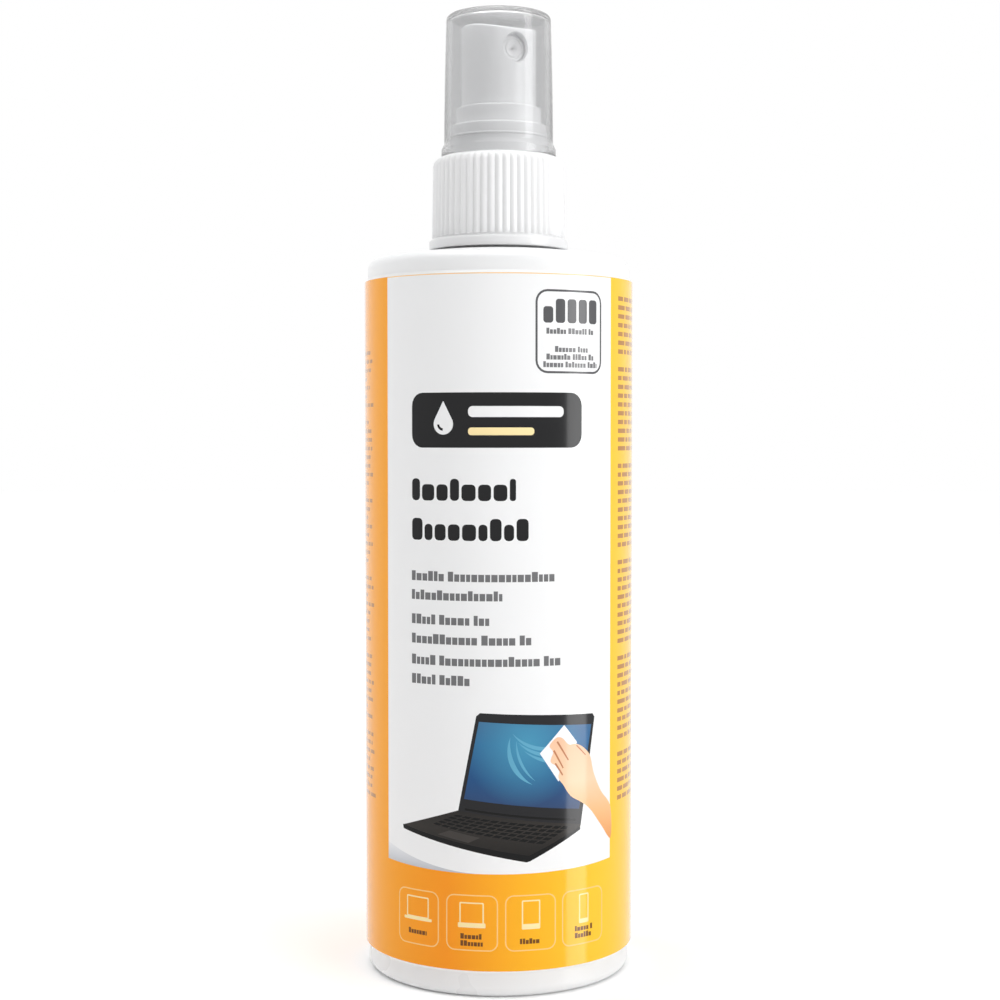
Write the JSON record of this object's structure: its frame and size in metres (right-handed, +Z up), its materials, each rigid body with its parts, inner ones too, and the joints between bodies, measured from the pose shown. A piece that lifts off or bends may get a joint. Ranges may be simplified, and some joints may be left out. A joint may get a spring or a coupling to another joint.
{
  "type": "fine-mist pump spray bottle",
  "caption": "Upright cylindrical pump spray bottle for screen and lens cleaner, with a ribbed screw collar, a push-button nozzle and a clear pull-off overcap.",
  "frame": {"origin": "centre of the base, on the surface the bottle stands on", "axes": "+Z up along the bottle's axis; the front of the label faces -Y; the nozzle points 28 degrees from -Y towards +X"},
  "size_m": [0.0522, 0.0522, 0.185],
  "materials": {
    "bottle_white": "satin",
    "label_film": "gloss",
    "fluid": "gloss",
    "collar_white": "satin",
    "gasket_foam": "matte",
    "pump_natural": "satin",
    "seal_rubber": "matte",
    "turret_white": "satin",
    "stem_white": "satin",
    "piston_pe": "satin",
    "spring_steel": "satin",
    "tube_natural": "satin",
    "button_white": "satin",
    "insert_white": "satin",
    "cap_clear": "gloss"
  },
  "bodies": {
    "bottle": {"bottle": "bottle_white", "label": "label_film", "cleaning_fluid": "fluid"},
    "sprayer": {"turret": "turret_white", "pump_housing": "pump_natural", "neck_gasket": "gasket_foam", "stem_seal": "seal_rubber", "ball_cage": "pump_natural", "dip_tube": "tube_natural", "return_spring": "spring_steel"},
    "collar": {"screw_collar": "collar_white"},
    "plunger": {"stem": "stem_white", "outlet_valve": "stem_white"},
    "piston": {"piston": "piston_pe"},
    "button": {"button": "button_white", "nozzle_insert": "insert_white"},
    "ball": {"inlet_ball": "spring_steel"},
    "overcap": {"overcap": "cap_clear"}
  },
  "joints": [
    {"name": "sprayer_rise", "type": "slide", "parent": "bottle", "child": "sprayer", "axis": [0, 0, 1], "range_m": [0, 0.0048]},
    {"name": "collar_turn", "type": "hinge", "parent": "sprayer", "child": "collar", "pos_m": [0, 0, 0.148], "axis": [0, 0, 1], "range_deg": [0, 540]},
    {"name": "pump_stroke", "type": "slide", "parent": "sprayer", "child": "plunger", "axis": [0, 0, -1], "range_m": [0, 0.0043], "stiffness_N_per_m": 3500, "springref_m": -0.0023, "deforming": ["return_spring"]},
    {"name": "piston_stroke", "type": "slide", "parent": "sprayer", "child": "piston", "axis": [0, 0, -1], "range_m": [0, 0.0038]},
    {"name": "nozzle_turn", "type": "hinge", "parent": "plunger", "child": "button", "pos_m": [0, 0, 0.17], "axis": [0, 0, 1], "continuous": true},
    {"name": "ball_lift", "type": "slide", "parent": "sprayer", "child": "ball", "axis": [0, 0, 1], "range_m": [0, 0.0009]},
    {"name": "overcap_pull", "type": "slide", "parent": "sprayer", "child": "overcap", "axis": [0, 0, 1], "range_m": [0, 0.032]}
  ],
  "couplings": [
    {"joint": "sprayer_rise", "follows": "collar_turn", "m_per_rad": 0.00050532},
    {"joint": "piston_stroke", "follows": "pump_stroke", "ratio": 0.88}
  ]
}
